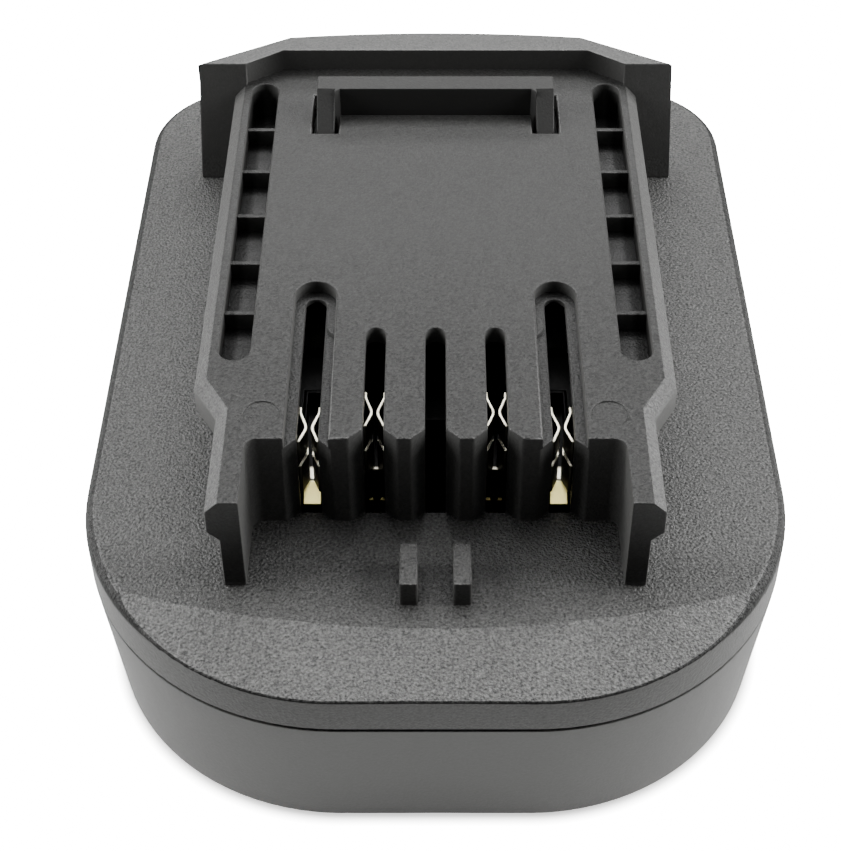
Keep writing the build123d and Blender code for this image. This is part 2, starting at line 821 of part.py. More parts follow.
def latch_spring(side):
    """Helical compression spring as one wire on tangent arcs, with plain ends."""
    steps = 2 * spring_turns
    wire = spring_wire_radius
    rise = spring_length - 2 * wire - 2 * fit_gap
    start_z = spring_seat_z + wire + fit_gap

    def point(step):
        angle = 2 * pi * spring_turns * step / steps
        return Vector(
            spring_coil_radius * cos(angle),
            spring_coil_radius * sin(angle),
            start_z + rise * step / steps,
        )

    def direction(step):
        angle = 2 * pi * spring_turns * step / steps
        climb = rise / (2 * pi * spring_turns * spring_coil_radius)
        return Vector(-sin(angle), cos(angle), climb).normalized()

    arcs = []
    for step in range(steps):
        first, last = point(step), point(step + 1)
        out, back = direction(step), direction(step + 1)
        chord = last - first
        turn = 1 - out.dot(back)
        along = chord.dot(out + back)
        reach = (sqrt(along * along + 2 * turn * chord.dot(chord)) - along) / (2 * turn)
        middle = (first + last + (out - back) * reach) / 2
        arcs.append(TangentArc(first, middle, tangent=out))
        arcs.append(TangentArc(last, middle, tangent=back * -1))
    path = Wire([arc.edge() for arc in arcs])
    points = [path @ (index / spring_samples) for index in range(spring_samples + 1)]
    apart = spring_samples // spring_turns // 2
    gaps = [
        (points[first] - points[second]).length - 2 * wire
        for first in range(spring_samples - apart)
        for second in range(first + apart, spring_samples + 1)
    ]
    print("least gap of the spring to itself, mm:", round(min(gaps), 2))
    section = Plane(origin=point(0), z_dir=direction(0)) * RegularPolygon(wire, spring_wire_sides)
    coil = sweep(section, path=path)
    return Pos(side * spring_offset, spring_y, 0) * coil


def latch_retainer():
    """Plate that closes the latch from below, with spring seats and guide sockets."""
    top = spring_seat_z
    low = top - retainer_thickness
    half = platform_room_width / 2 - retainer_gap
    places = retainer_boss_places()
    front = places[0][1] - retainer_boss_radius
    rear = rear_y - button_back_setback - 2 * button_side_gap
    plate = box((-half, half), (front, rear), (low, top))
    plate = fillet(plate.edges().filter_by(Axis.Z), retainer_boss_radius)
    pin_z = (top - retainer_thickness / 2, top + seat_pin_length)
    plate += both_sides(rod(spring_offset, spring_y, spring_pin_radius, *pin_z))
    ear = rod(retainer_rear_offset, places[-1][1], retainer_boss_radius, low, top)
    plate += both_sides(ear)
    cuts = both_sides(rod(guide_offset, guide_y, guide_radius + guide_gap, top - guide_socket, top + overrun))
    cuts += [rod(x, y, small_hole_radius + guide_gap, low - overrun, top + overrun) for x, y in places]
    return plate - cuts


def small_screws(places, seat, length):
    """Group of equal small screws driven upwards at a seat height."""
    return group(
        [
            screw(x, y, seat, length, small_screw_radius, small_screw_head_radius,
                  small_screw_head, 2 * small_screw_slot, small_screw_slot)
            for x, y in places
        ]
    )


def guide_pins():
    """Two steel dowels that the carriage slides on."""
    low = spring_seat_z - guide_socket
    high = room_z + guide_socket
    pin = rod(guide_offset, guide_y, guide_radius, low, high)
    pin = chamfer(pin.edges().filter_by(GeomType.CIRCLE), guide_radius / 4)
    return group(both_sides(pin))


def leaf(low, high):
    """One bent leaf of a fork contact, for the right-hand side of its slot."""
    inner = leaf_pinch_gap / 2
    points = [
        (leaf_spread, leaf_rear_length),
        (inner, 0),
        (leaf_spread, -leaf_front_length),
        (leaf_spread + leaf_thickness, -leaf_front_length),
        (inner + leaf_thickness, 0),
        (leaf_spread + leaf_thickness, leaf_rear_length),
    ]
    strip = make_face(Polyline(*points, close=True))
    bends = strip.vertices().filter_by_position(Axis.Y, 0, 0).sort_by(Axis.X)
    strip = fillet(bends[0], leaf_bend_radius + leaf_thickness)
    bends = strip.vertices().filter_by_position(Axis.Y, 0, 0).sort_by(Axis.X)
    strip = fillet(bends[-1], leaf_bend_radius)
    return raised(strip, low, high)


def fork_body():
    """Four leaves on a channel with a floor strip, at the slot's own origin."""
    right = leaf(leaf_split_z, contact_z) + leaf(contact_low_z, lower_leaf_z)
    outer = leaf_spread + leaf_thickness
    rear = leaf_rear_length + channel_length
    channel_z = (contact_floor_z, contact_floor_z + channel_height)
    neck_y = (leaf_rear_length - leaf_thickness / 2, leaf_rear_length + contact_neck_length)
    right += box((leaf_spread, outer), neck_y, (contact_floor_z, contact_z))
    right += box((leaf_spread, outer), (leaf_rear_length, rear), channel_z)
    body = right + mirror(right, about=Plane.YZ)
    body += box((-outer, outer), (rear - leaf_thickness, rear), channel_z)
    body += box(
        (-outer, outer),
        (leaf_rear_length, rear),
        (contact_floor_z, contact_floor_z + contact_floor_thickness),
    )
    return body


def power_contact(side):
    """Outer fork contact with its tilted cream tab and a tail down to the bus bar."""
    body = fork_body()
    floor_top = contact_floor_z + contact_floor_thickness
    strip_half = contact_strip_width / 2
    strip_y = (0, leaf_rear_length + leaf_thickness)
    body += box((-strip_half, strip_half), strip_y, (contact_floor_z, floor_top))
    half = tab_width / 2
    tab = Polyline(
        (-strip_half, 0),
        (-half, -tab_point),
        (-half, -tab_length),
        (half, -tab_length),
        (half, -tab_point),
        (strip_half, 0),
        close=True,
    )
    plate = extrude(make_face(tab), amount=leaf_thickness)
    body += Pos(0, leaf_thickness, contact_floor_z) * Rot(tab_tilt, 0, 0) * plate
    tail_y = leaf_rear_length + tail_setback
    tail_half = tail_width / 2
    body += box(
        (-tail_half, tail_half),
        (tail_y, tail_y + leaf_thickness),
        (busbar_z + busbar_thickness, floor_top),
    )
    return Pos(side * power_slot_offset, comb_y + power_pinch_setback, 0) * body


def sense_contact(side):
    """Inner fork contact with a shouldered tail down to the circuit board."""
    body = fork_body()
    floor_top = contact_floor_z + contact_floor_thickness
    strip_half = contact_strip_width / 2
    tail_y = -sense_tail_setback
    tail = (tail_y, tail_y + leaf_thickness)
    strip_y = (tail_y, leaf_rear_length + leaf_thickness)
    body += box((-strip_half, strip_half), strip_y, (contact_floor_z, floor_top))
    body += box((-strip_half, strip_half), tail, (board_top_z, floor_top))
    shoulder = board_top_z + sense_shoulder_rise
    shoulder_half = sense_shoulder_width / 2
    body += box((-shoulder_half, shoulder_half), tail, (shoulder, shoulder + sense_shoulder_height))
    return Pos(side * sense_slot_offset, comb_y + sense_pinch_setback, 0) * body


def contact_block():
    """Insulating block behind the comb, slotted for the four fork contacts."""
    top = block_top_z
    low = block_low_z
    half = platform_room_width / 2 - contact_block_gap
    front = comb_back_y + contact_block_gap
    block = box((-half, half), (front, front + contact_block_depth), (low, top))
    block = fillet(block.edges().filter_by(Axis.Z).sort_by(Axis.Y)[2:], contact_block_gap * 4)
    outer = leaf_spread + leaf_thickness + fit_gap
    cuts = []
    places = [(power_slot_offset, power_pinch_setback), (sense_slot_offset, sense_pinch_setback)]
    for offset, setback in places:
        rear = comb_y + setback + leaf_rear_length + channel_length + fit_gap
        for side in (-1, 1):
            x = side * offset
            heights = (contact_floor_z - fit_gap, top + overrun)
            cuts.append(box((x - outer, x + outer), (front - overrun, rear), heights))
    tail_y = comb_y + power_pinch_setback + leaf_rear_length + tail_setback
    tail_half = tail_width / 2 + fit_gap
    for side in (-1, 1):
        x = side * power_slot_offset
        cuts.append(
            box(
                (x - tail_half, x + tail_half),
                (tail_y - fit_gap, tail_y + leaf_thickness + fit_gap),
                (low - overrun, top),
            )
        )
    for x, y in block_screw_places():
        cuts.append(rod(x, y, small_hole_radius + guide_gap, low - overrun, top + overrun))
    return block - cuts


def busbar(side):
    """Flat strip from a power blade's tail to the tail of the outer fork contact."""
    outer = blade_offset + busbar_width / 2
    inner = blade_offset - busbar_width / 2
    tail_y = comb_y + power_pinch_setback + leaf_rear_length + tail_setback + leaf_thickness / 2
    rear = tail_y + busbar_foot_depth / 2
    heights = (busbar_z, busbar_z + busbar_thickness)
    strip = box((inner, outer), (blade_block_y, rear), heights)
    strip += box(
        (power_slot_offset - tail_width, outer),
        (rear - busbar_foot_depth, rear),
        heights,
    )
    return strip if side > 0 else mirror(strip, about=Plane.YZ)


def blade(side, offset, thickness, height, length, lift, tail_top):
    """Male blade with a bevelled tip, run through its insulator to an upright tail."""
    tip_y = receptacle_y + length
    profile = Polyline(
        (blade_block_y, lift),
        (tip_y - blade_point, lift),
        (tip_y, lift + blade_point),
        (tip_y, lift + height - blade_point),
        (tip_y - blade_point, lift + height),
        (blade_block_y + blade_tail_depth, lift + height),
        (blade_block_y + blade_tail_depth, tail_top),
        (blade_block_y, tail_top),
        close=True,
    )
    solid = extrude(Plane.YZ * make_face(profile), amount=thickness)
    return Pos(side * offset - thickness / 2, 0, 0) * solid


def power_blade(side):
    """Power blade of the receptacle."""
    return blade(side, blade_offset, blade_thickness, blade_height, blade_length, blade_lift, busbar_z)


def signal_blades():
    """Two smaller blades whose tails meet the circuit board."""
    return group(
        [
            blade(side, signal_blade_offset, signal_blade_thickness, signal_blade_height,
                  signal_blade_length, signal_blade_lift, board_z)
            for side in (-1, 1)
        ]
    )


def blade_block():
    """Insulator of the male blades, seated against the front wall of the receptacle."""
    half = blade_block_half
    seat_y = receptacle_y - receptacle_wall
    block = box((-half, half), (blade_block_y, seat_y), (floor_thickness, blade_block_top))
    margin = blade_nose_margin
    block += box(
        (-half + margin, half - margin),
        (seat_y - overrun, receptacle_y),
        (floor_thickness + margin, blade_block_top - margin),
    )
    cuts = []
    sets = [
        (blade_offset, blade_thickness, blade_lift, blade_height),
        (signal_blade_offset, signal_blade_thickness, signal_blade_lift, signal_blade_height),
    ]
    for offset, thickness, lift, height in sets:
        width = thickness / 2 + fit_gap
        for side in (-1, 1):
            limits = (side * offset - width, side * offset + width)
            run = (blade_block_y - overrun, receptacle_y + overrun)
            cuts.append(box(limits, run, (lift - fit_gap, lift + height + fit_gap)))
            tail = (blade_block_y - overrun, blade_block_y + blade_tail_depth + fit_gap)
            cuts.append(box(limits, tail, (lift, blade_block_top + overrun)))
    return block - cuts


def circuit_board():
    """Board on the receptacle's roof, with a neck that reaches the signal blades."""
    heights = (board_z, board_top_z)
    half = board_width / 2
    neck_half = board_neck_width / 2
    board = box((-half, half), (board_split_y, board_rear_y), heights)
    board += box((-neck_half, neck_half), (board_y, board_split_y + overrun), heights)
    board = fillet(board.edges().filter_by(Axis.Z), board_thickness / 2)
    hole_z = (board_z - overrun, board_top_z + overrun)
    return board - [rod(x, y, small_hole_radius + guide_gap, *hole_z) for x, y in standoff_places]


def board_components():
    """Chips, capacitors and resistors standing on the board."""
    top = board_top_z
    run = board_rear_y - board_split_y
    chip = Box(chip_width, chip_length, chip_height)
    resistor = Box(resistor_width, resistor_length, resistor_height)
    parts = []
    for side in (-1, 1):
        x = side * component_offset
        parts.append(Pos(x, board_split_y + chip_row_share * run, top + chip_height / 2) * chip)
        y = board_split_y + capacitor_row_share * run
        parts.append(rod(x, y, capacitor_radius, top, top + capacitor_height))
        for row in range(resistor_rows):
            y = board_split_y + (resistor_row_share + row * resistor_pitch_share) * run
            parts.append(Pos(side * resistor_offset, y, top + resistor_height / 2) * resistor)
    return group(parts)


def board_screws():
    """Four small screws driven down through the board into the standoffs."""
    seat = board_top_z
    length = board_thickness + board_lift + receptacle_roof / 2 - guide_gap
    upright = [
        screw(0, 0, 0, length, small_screw_radius, small_screw_head_radius,
              small_screw_head, 2 * small_screw_slot, small_screw_slot)
        for place in standoff_places
    ]
    return group([Pos(x, y, seat) * Rot(180, 0, 0) * each for (x, y), each in zip(standoff_places, upright)])


def housing_screws():
    """Four screws from below, sunk in the counterbores of the lower housing."""
    return group(
        [
            screw(x, y, housing_counterbore_depth, housing_screw_length, housing_screw_radius,
                  housing_head_radius, housing_head_height, housing_drive_width, housing_drive_depth)
            for x, y in boss_places
        ]
    )


nodes = {
    "lower_housing": lower_housing(),
    "upper_cover": upper_cover(),
    "latch_hook": latch_hook(),
    "release_button": release_button(),
    "latch_spring_left": latch_spring(-1),
    "latch_spring_right": latch_spring(1),
    "latch_retainer": latch_retainer(),
    "retainer_screws": small_screws(
        retainer_boss_places(),
        spring_seat_z - retainer_thickness,
        small_screw_length,
    ),
    "guide_pins": guide_pins(),
    "contact_block": contact_block(),
    "block_screws": small_screws(block_screw_places(), block_low_z, block_screw_length),
    "contact_positive": power_contact(-1),
    "contact_negative": power_contact(1),
    "contact_sense_left": sense_contact(-1),
    "contact_sense_right": sense_contact(1),
    "blade_block": blade_block(),
    "blade_positive": power_blade(-1),
    "blade_negative": power_blade(1),
    "signal_blades": signal_blades(),
    "busbar_positive": busbar(-1),
    "busbar_negative": busbar(1),
    "circuit_board": circuit_board(),
    "board_components": board_components(),
    "board_screws": board_screws(),
    "housing_screws": housing_screws(),
}

os.makedirs("parts", exist_ok=True)
for name, shape in nodes.items():
    export_step(shape, "parts/" + name + ".step")
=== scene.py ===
import bmesh
import bpy
from math import pi, radians
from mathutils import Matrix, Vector
from mathutils.bvhtree import BVHTree


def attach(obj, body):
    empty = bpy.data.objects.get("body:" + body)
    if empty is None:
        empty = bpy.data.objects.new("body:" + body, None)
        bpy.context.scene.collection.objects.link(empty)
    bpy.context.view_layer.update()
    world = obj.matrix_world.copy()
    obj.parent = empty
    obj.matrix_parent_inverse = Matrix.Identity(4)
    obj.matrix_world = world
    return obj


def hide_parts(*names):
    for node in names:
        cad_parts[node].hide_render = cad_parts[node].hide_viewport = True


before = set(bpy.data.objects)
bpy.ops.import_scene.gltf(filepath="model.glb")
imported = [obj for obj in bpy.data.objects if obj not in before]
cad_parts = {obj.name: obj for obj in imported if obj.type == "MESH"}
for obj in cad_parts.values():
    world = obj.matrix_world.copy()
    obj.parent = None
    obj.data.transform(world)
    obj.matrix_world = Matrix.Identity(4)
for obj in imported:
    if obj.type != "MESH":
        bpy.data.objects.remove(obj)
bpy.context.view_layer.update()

# Camera: a long lens that looks down on the front of the adapter at 44 degrees.
# Its axis runs a little right of the picture's middle, as in the photograph.
picture_height = 851
focal_length = 1807
axis_right_of_middle = 15
sensor_size = 36.0
nearest_seen = 0.01
camera_down = radians(44)
camera_place = (0.0, -0.1704, 0.1733)

lens = bpy.data.cameras.new("studio_camera")
lens.sensor_width = sensor_size
lens.lens = sensor_size * focal_length / picture_height
lens.shift_x = -axis_right_of_middle / picture_height
lens.clip_start = nearest_seen
camera = bpy.data.objects.new("studio_camera", lens)
camera.location = camera_place
camera.rotation_euler = (pi / 2 - camera_down, 0, 0)
bpy.context.scene.collection.objects.link(camera)
bpy.context.scene.camera = camera


# Table and light: a white sheet under a long soft box behind the adapter and one at each side.
# Nothing broad lights the front, so faces towards the camera stay dark.
def add_node(tree, kind, inputs=(), **settings):
    """A shader node; its inputs are plain values or other nodes' outputs."""
    made = tree.nodes.new("ShaderNode" + kind)
    for name, value in settings.items():
        setattr(made, name, value)
    for name, value in dict(inputs).items():
        if isinstance(value, bpy.types.NodeSocket):
            tree.links.new(value, made.inputs[name])
        else:
            made.inputs[name].default_value = value
    return made


def number(tree, operation, *values):
    """Arithmetic on numbers."""
    return add_node(tree, "Math", dict(enumerate(values)), operation=operation).outputs[0]


def vector(tree, operation, *values):
    """Arithmetic on places or directions."""
    made = add_node(tree, "VectorMath", dict(enumerate(values)), operation=operation)
    return made.outputs["Value" if operation == "LENGTH" else "Vector"]


def times(tree, colour_or_place, factor):
    """A colour or a place multiplied by one number."""
    return add_node(tree, "VectorMath", {0: colour_or_place, "Scale": factor}, operation="SCALE").outputs[0]


def ramp(tree, value, low, high, at_low=0.0, at_high=1.0, **settings):
    """A number carried evenly from one range to another and held beyond its ends."""
    ends = {"Value": value, "From Min": low, "From Max": high, "To Min": at_low, "To Max": at_high}
    return add_node(tree, "MapRange", ends, **settings).outputs[0]


def mix_numbers(tree, share, first, second):
    """The first number where the share is nought and the second where it is one."""
    return add_node(tree, "Mix", {"Factor": share, 2: first, 3: second}).outputs[0]


def mix_colours(tree, share, first, second):
    """The first colour where the share is nought and the second where it is one."""
    return add_node(tree, "Mix", {"Factor": share, 6: first, 7: second}, data_type="RGBA").outputs[2]


def object_place(tree):
    """Where a point lies in the adapter's own frame."""
    return add_node(tree, "TexCoord").outputs["Object"]


def new_material(name):
    """An empty material, with its tree and its output node."""
    material = bpy.data.materials.new(name)
    material.use_nodes = True
    tree = material.node_tree
    tree.nodes.clear()
    return material, tree, tree.nodes.new("ShaderNodeOutputMaterial")


sheet_reach = 3.0
sheet_clearance = 0.0001
seen_glow = 24.0
bounce_glow = 0.74
bounce_reach = (0.075, 0.13)
far_paper = (0.10, 0.10, 0.10, 1)
near_paper = (0.86, 0.86, 0.85, 1)
paper_light = (1, 1, 0.99, 1)
paper_roughness = 0.9
paper_shine = 0.1
foot_half = (0.0381, 0.0541)
foot_corner = 0.0276
shadow_reach = 0.0026
shadow_tone = 0.05

sheet_mesh = bpy.data.meshes.new("table_sheet")
sheet_corners = [
    (-sheet_reach, -sheet_reach, -sheet_clearance),
    (sheet_reach, -sheet_reach, -sheet_clearance),
    (sheet_reach, sheet_reach, -sheet_clearance),
    (-sheet_reach, sheet_reach, -sheet_clearance),
]
sheet_mesh.from_pydata(sheet_corners, [], [(0, 1, 2, 3)])
table_sheet = bpy.data.objects.new("table_sheet", sheet_mesh)
bpy.context.scene.collection.objects.link(table_sheet)

# Painted light on the sheet: near the adapter it glows as bounce light, and further out its paper is painted
# darker as shade. Seen by the camera it glows white, painted darker round the foot as a contact shadow.
paper, tree, output = new_material("white_paper")
place = object_place(tree)
seen_directly = add_node(tree, "LightPath").outputs["Is Camera Ray"]
from_middle = vector(tree, "LENGTH", place)
near_object = ramp(tree, from_middle, *bounce_reach, 1.0, 0.0, interpolation_type="SMOOTHSTEP")
bounce = number(tree, "MULTIPLY", near_object, bounce_glow)
foot_middle = (foot_half[0] - foot_corner, foot_half[1] - foot_corner, 0.0)
past_middle = vector(tree, "SUBTRACT", vector(tree, "ABSOLUTE", place), foot_middle)
from_foot = vector(tree, "LENGTH", vector(tree, "MAXIMUM", past_middle, (0, 0, 0)))
contact_shadow = ramp(
    tree,
    from_foot,
    foot_corner,
    foot_corner + shadow_reach,
    shadow_tone * seen_glow,
    seen_glow,
    interpolation_type="SMOOTHSTEP",
)
upper_side = add_node(
    tree,
    "BsdfPrincipled",
    {
        "Base Color": mix_colours(tree, near_object, far_paper, near_paper),
        "Roughness": paper_roughness,
        "Specular IOR Level": paper_shine,
        "Emission Color": paper_light,
        "Emission Strength": mix_numbers(tree, seen_directly, bounce, contact_shadow),
    },
)
under_side = add_node(tree, "BsdfTransparent")
behind_sheet = add_node(tree, "NewGeometry").outputs["Backfacing"]
seen_from_below = number(tree, "MULTIPLY", behind_sheet, seen_directly)
sides = {0: seen_from_below, 1: upper_side.outputs[0], 2: under_side.outputs[0]}
two_sided = add_node(tree, "MixShader", sides)
tree.links.new(two_sided.outputs[0], output.inputs["Surface"])
sheet_mesh.materials.append(paper)

# Each box has its place, its size and its power; a glint shows only in reflections.
soft_boxes = {
    "top_box": ((0.0, 0.42, 0.57), (0.6, 0.26), 4.2),
    "left_box": ((-0.42, 0.08, 0.22), (0.36, 0.3), 4.1),
    "right_box": ((0.42, 0.08, 0.22), (0.36, 0.3), 5.0),
    "front_glint": ((0.0, -0.50, 0.56), (0.3, 0.12), 0.8),
    "rear_glint": ((0.0, 0.62, 0.36), (0.6, 0.12), 1.2),
    "over_glint": ((0.0, 0.16, 0.72), (0.5, 0.2), 1.5),
}
for name, (box_place, box_size, power) in soft_boxes.items():
    light = bpy.data.lights.new(name, "AREA")
    light.shape = "RECTANGLE"
    light.size, light.size_y = box_size
    light.energy = power
    lamp = bpy.data.objects.new(name, light)
    lamp.location = box_place
    lamp.rotation_euler = (-Vector(box_place)).to_track_quat("-Z", "Y").to_euler()
    lamp.visible_diffuse = not name.endswith("glint")
    bpy.context.scene.collection.objects.link(lamp)

room_light = 0.035
room_colour = (1, 1, 1, 1)
room = bpy.data.worlds.new("room")
room.use_nodes = True
tree = room.node_tree
seen_directly = add_node(tree, "LightPath").outputs["Is Camera Ray"]
background = tree.nodes["Background"]
background.inputs["Color"].default_value = room_colour
room_strength = mix_numbers(tree, seen_directly, room_light, seen_glow)
tree.links.new(room_strength, background.inputs["Strength"])
bpy.context.scene.world = room


# Upper cover: one moulding of glass-filled nylon with the rail platform, the comb and the rear hump.
# The mould is spark eroded, which leaves a grain that is coarse on the plateau and fine on the platform.
# Every outer edge is slightly rounded.
def shader_group(name, takes, gives):
    """A group of shader nodes with named inputs and outputs."""
    tree = bpy.data.node_groups.new(name, "ShaderNodeTree")
    for label, value in takes.items():
        socket = tree.interface.new_socket(label, in_out="INPUT", socket_type="NodeSocketFloat")
        socket.default_value = value
    for label in gives:
        tree.interface.new_socket(label, in_out="OUTPUT", socket_type="NodeSocketFloat")
    return tree, tree.nodes.new("NodeGroupInput").outputs, tree.nodes.new("NodeGroupOutput").inputs


def use_group(tree, group, **values):
    """The group placed in a material, with its own values."""
    made = tree.nodes.new("ShaderNodeGroup")
    made.node_tree = group
    for name, value in values.items():
        made.inputs[name].default_value = value
    return made


fine_share = 0.4
band_blend = 0.001
grain_growth = (0.004, -0.020, 0.9, 1.7)
grain_fades = (0.35, 0.7, 0.25, 1.0)
crumb_scale = 1.1
crumb_share = -0.5
middle_of_noise = 0.5
level_from = 0.9

tree, takes, gives = shader_group(
    "spark_eroded_grain",
    {"Frequency": 2400.0, "Coarse below": 1.0, "Fine share": fine_share},
    ["Height", "Fleck"],
)
grain_group = tree
place = object_place(tree)
spot = add_node(tree, "SeparateXYZ", {0: place})
grain_place = times(tree, place, takes["Frequency"])
craters = add_node(tree, "TexNoise", {"Vector": grain_place, "Scale": 1.0, "Detail": 2.0, "Roughness": 0.6})
crumbs = add_node(tree, "TexVoronoi", {"Vector": grain_place, "Scale": crumb_scale}, feature="SMOOTH_F1")
crumb_dip = number(tree, "MULTIPLY", crumbs.outputs["Distance"], crumb_share)
pitted = number(tree, "ADD", craters.outputs[0], crumb_dip)
forward = ramp(tree, spot.outputs["Y"], *grain_growth)
platform_share = number(tree, "MULTIPLY", takes["Fine share"], forward)
band_top = number(tree, "ADD", takes["Coarse below"], band_blend)
low_band = ramp(tree, spot.outputs["Z"], takes["Coarse below"], band_top, 1.0, platform_share)
facing = add_node(tree, "SeparateXYZ", {0: add_node(tree, "NewGeometry").outputs["Normal"]})
facing_up = ramp(tree, facing.outputs["Z"], *grain_fades)
share = number(tree, "MULTIPLY", low_band, facing_up)
height = number(tree, "MULTIPLY", pitted, share)
centred = number(tree, "SUBTRACT", craters.outputs[0], middle_of_noise)
fleck = number(tree, "MULTIPLY", centred, share)
tree.links.new(height, gives["Height"])
tree.links.new(fleck, gives["Fleck"])

tree, takes, gives = shader_group("tone_drift", {"Frequency": 40.0, "Amount": 0.1}, ["Tone"])
drift_group = tree
cloud_place = times(tree, object_place(tree), takes["Frequency"])
clouds = add_node(tree, "TexNoise", {"Vector": cloud_place, "Scale": 1.0, "Detail": 4.0, "Roughness": 0.55})
centred = number(tree, "SUBTRACT", clouds.outputs[0], middle_of_noise)
swing = number(tree, "MULTIPLY", centred, takes["Amount"])
tree.links.new(number(tree, "ADD", swing, 1.0), gives["Tone"])

speck_bend = 0.06
tree, takes, gives = shader_group("dust_specks", {"Frequency": 130.0, "Speck size": 0.014}, ["Dust"])
dust_group = tree
dust_place = times(tree, object_place(tree), takes["Frequency"])
bend = add_node(tree, "TexNoise", {"Vector": dust_place, "Scale": 9.0, "Detail": 1.0})
bent_place = vector(tree, "ADD", dust_place, times(tree, bend.outputs["Color"], speck_bend))
cells = add_node(tree, "TexVoronoi", {"Vector": bent_place, "Scale": 1.0, "Randomness": 1.0})
speck = ramp(tree, cells.outputs["Distance"], 0.0, takes["Speck size"], 1.0, 0.0)
facing = add_node(tree, "SeparateXYZ", {0: add_node(tree, "NewGeometry").outputs["Normal"]})
level = number(tree, "GREATER_THAN", facing.outputs["Z"], level_from)
tree.links.new(number(tree, "MULTIPLY", speck, level), gives["Dust"])

# Painted shade for the cover: its tone, and with it its gloss, is made darker in the zones where shade
# falls.
tree, takes, gives = shader_group("cover_painted_shade", {"Tone": 1.0}, ["Tone"])
painted_shade_group = tree
spot = add_node(tree, "SeparateXYZ", {0: object_place(tree)})
facing = add_node(tree, "SeparateXYZ", {0: add_node(tree, "NewGeometry").outputs["True Normal"]})
measures = {
    "across": number(tree, "ABSOLUTE", spot.outputs["X"]),
    "along": spot.outputs["Y"],
    "up": spot.outputs["Z"],
    "faces_along": facing.outputs["Y"],
    "faces_up": facing.outputs["Z"],
}
lowest = -2.0
highest = 2.0
narrow = 0.0002
# Each zone has what is measured, where it begins and ends, and how wide its ends are.
zones = {
    "level": ("faces_up", level_from, highest, narrow),
    "steep": ("faces_up", lowest, 0.6, narrow),
    "rounded": ("faces_up", 0.20, 0.95, narrow),
    "to_front": ("faces_along", lowest, -0.9, narrow),
    "not_sloped": ("faces_along", -0.05, highest, narrow),
    "under_wall_top": ("up", 0.0284, 0.0392, narrow),
    "in_cells": ("up", 0.0285, 0.0365, narrow),
    "below_leaf_tops": ("up", lowest, 0.0335, narrow),
    "above_plateau": ("up", 0.0250, highest, narrow),
    "on_plateau": ("up", 0.0242, 0.0248, narrow),
    "under_plateau": ("up", lowest, 0.0243, narrow),
    "on_rim": ("up", 0.0208, 0.0246, narrow),
    "on_pegs": ("up", 0.0272, 0.0282, narrow),
    "along_ladder": ("along", -0.0200, 0.0368, narrow),
    "along_slots": ("along", -0.0295, 0.0, narrow),
    "on_prongs": ("along", lowest, -0.0400, narrow),
    "in_front": ("along", lowest, -0.0370, 0.0020),
    "beside_rail": ("across", 0.0232, 0.0250, 0.0003),
    "across_slots": ("across", lowest, 0.0180, narrow),
    "past_pegs": ("across", 0.0100, highest, narrow),
}
# Each painted shade has how much darker it is and the zones that bound it: painted shade on the fine-grained
# platform, on the tops of the pegs, on the fronts of the prongs, on the smooth side band and its rounded
# rim, and painted shadow in the outer halves of the ladder cells, in the depths of the slots and on the
# plateau before the slope.
painted_shades = (
    (0.52, "level", "under_wall_top"),
    (0.35, "level", "on_pegs"),
    (0.55, "in_cells", "beside_rail", "along_ladder"),
    (0.85, "along_slots", "across_slots", "below_leaf_tops"),
    (0.45, "to_front", "on_prongs", "above_plateau", "past_pegs"),
    (0.26, "steep", "under_plateau"),
    (0.60, "rounded", "on_rim"),
    (0.16, "level", "not_sloped", "on_plateau", "in_front"),
)
masks = {}
for zone, (measure, begins, ends, blend) in zones.items():
    above = ramp(tree, measures[measure], begins - blend, begins + blend)
    below = ramp(tree, measures[measure], ends + blend, ends - blend)
    masks[zone] = number(tree, "MULTIPLY", above, below)
tone = takes["Tone"]
for darker, *bounded_by in painted_shades:
    for zone in bounded_by:
        darker = number(tree, "MULTIPLY", darker, masks[zone])
    tone = number(tree, "MULTIPLY", tone, number(tree, "SUBTRACT", 1.0, darker))
tree.links.new(tone, gives["Tone"])

dust_colour = (0.62, 0.61, 0.58, 1)
fleck_range = 0.3
sheen_swing = 0.1
slope_facing = (-0.08, -0.14)


